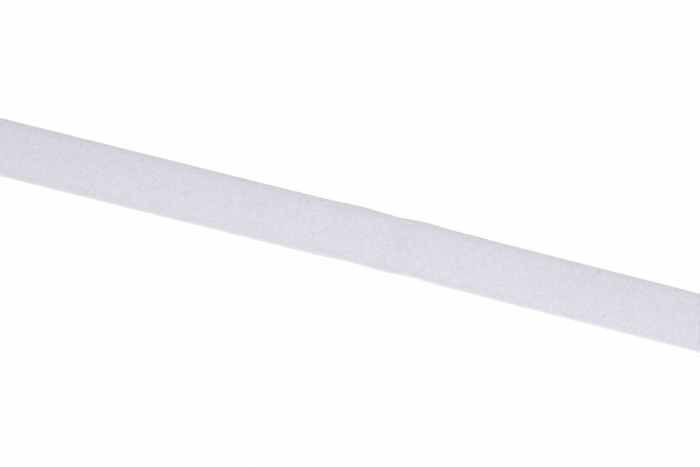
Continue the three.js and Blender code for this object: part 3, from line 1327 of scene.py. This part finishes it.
def floor_material(colours):
    """White sweep card. It looks evenly white from the camera, and keeps a faint shadow."""
    material = bpy.data.materials.new("white sweep")
    add = node_adder(material)
    card = add("BsdfDiffuse", {"Color": colours.floor})
    glow = add("Emission", {"Color": WHITE, "Strength": 1.0})
    ray = add("LightPath")
    seen = ray.outputs["Is Camera Ray"]
    for kind in ("Is Glossy Ray", "Is Transmission Ray"):
        seen = add("Math", {"Value": seen, "Value_001": ray.outputs[kind]}, operation="MAXIMUM")
    share = add("Math", {"Value": seen, "Value_001": FLOOR_WHITENESS}, operation="MULTIPLY")
    mix = add("MixShader", {"Fac": share, "Shader": card, "Shader_001": glow})
    add("OutputMaterial", {"Surface": mix})
    return material


class TAPE_OT_stage(bpy.types.Operator):
    """Set the floor, the lamps, the background and the camera"""

    bl_idname = "tape_roll.stage"
    bl_label = "Stage"

    def execute(self, context):
        stage = context.scene.tape_stage
        self.floor(context)
        target = Vector((CONTACT_X + stage.view_centre, VIEW_ACROSS, VIEW_ABOVE))
        self.light(context, stage, target)
        self.camera(context, stage, target)
        context.scene.view_settings.view_transform = "Standard"
        return {"FINISHED"}

    def floor(self, context):
        bm = bmesh.new()
        bmesh.ops.create_grid(bm, x_segments=1, y_segments=1, size=FLOOR_REACH)
        bmesh.ops.translate(bm, vec=(0, 0, -FLOOR_DROP), verts=bm.verts)
        mesh = mesh_of(bm, "sweep")
        mesh.materials.append(floor_material(context.scene.tape_colours))
        floor = bpy.data.objects.new("sweep", mesh)
        context.scene.collection.objects.link(floor)

    def light(self, context, stage, target):
        world = bpy.data.worlds.new("studio")
        add = node_adder(world)
        ray = add("LightPath")
        strength = add(
            "MapRange",
            {"Value": ray.outputs["Is Camera Ray"], "To Min": stage.ambient, "To Max": 1.0},
        )
        glow = add("Background", {"Color": WHITE, "Strength": strength})
        add("OutputWorld", {"Surface": glow})
        context.scene.world = world
        lamp = bpy.data.lights.new("key", "AREA")
        lamp.shape = "DISK"
        lamp.size = stage.key_size
        lamp.energy = stage.key_power
        key = bpy.data.objects.new("key", lamp)
        key.location = target + KEY_PLACE
        key.rotation_euler = (key.location - target).to_track_quat("Z", "Y").to_euler()
        context.scene.collection.objects.link(key)

    def camera(self, context, stage, target):
        azimuth = math.atan(stage.fall / math.sin(stage.elevation))
        back = Vector(
            (
                math.sin(azimuth) * math.cos(stage.elevation),
                -math.cos(azimuth) * math.cos(stage.elevation),
                math.sin(stage.elevation),
            )
        )
        data = bpy.data.cameras.new("camera")
        data.lens = stage.lens
        data.sensor_width = 36
        data.clip_end = 20
        camera = bpy.data.objects.new("camera", data)
        camera.location = target + back * (stage.view_width * data.lens / data.sensor_width)
        camera.rotation_euler = back.to_track_quat("Z", "Y").to_euler()
        context.scene.collection.objects.link(camera)
        context.scene.camera = camera


class TAPE_PT_panel(bpy.types.Panel):
    """Lists the tape's sizes and the steps that build it"""

    bl_idname = "TAPE_PT_panel"
    bl_label = "Tape roll"
    bl_space_type = "VIEW_3D"
    bl_region_type = "UI"
    bl_category = "Tape roll"

    def draw(self, context):
        for operator in OPERATORS:
            self.layout.operator(operator.bl_idname)
        for group in GROUPS:
            for name in GROUPS[group].__annotations__:
                self.layout.prop(getattr(context.scene, group), name)


OPERATORS = (
    TAPE_OT_stage,
    TAPE_OT_core,
    TAPE_OT_tack,
    TAPE_OT_hook_strip,
    TAPE_OT_ground_cloth,
    TAPE_OT_wound_pile,
    TAPE_OT_laid_pile,
    TAPE_OT_loose_ends,
    TAPE_OT_declare,
)
GROUPS = {
    "tape_sizes": TAPE_PG_sizes,
    "tape_texture": TAPE_PG_texture,
    "tape_colours": TAPE_PG_colours,
    "tape_stage": TAPE_PG_stage,
}


def register():
    for group in GROUPS.values():
        bpy.utils.register_class(group)
    for name, group in GROUPS.items():
        setattr(bpy.types.Scene, name, PointerProperty(type=group))
    for operator in OPERATORS:
        bpy.utils.register_class(operator)
    bpy.utils.register_class(TAPE_PT_panel)


def unregister():
    bpy.utils.unregister_class(TAPE_PT_panel)
    for operator in reversed(OPERATORS):
        bpy.utils.unregister_class(operator)
    for name in GROUPS:
        delattr(bpy.types.Scene, name)
    for group in reversed(GROUPS.values()):
        bpy.utils.unregister_class(group)


def main():
    register()
    for operator in OPERATORS:
        group, name = operator.bl_idname.split(".")
        getattr(getattr(bpy.ops, group), name)()


if __name__ == "__main__":
    main()
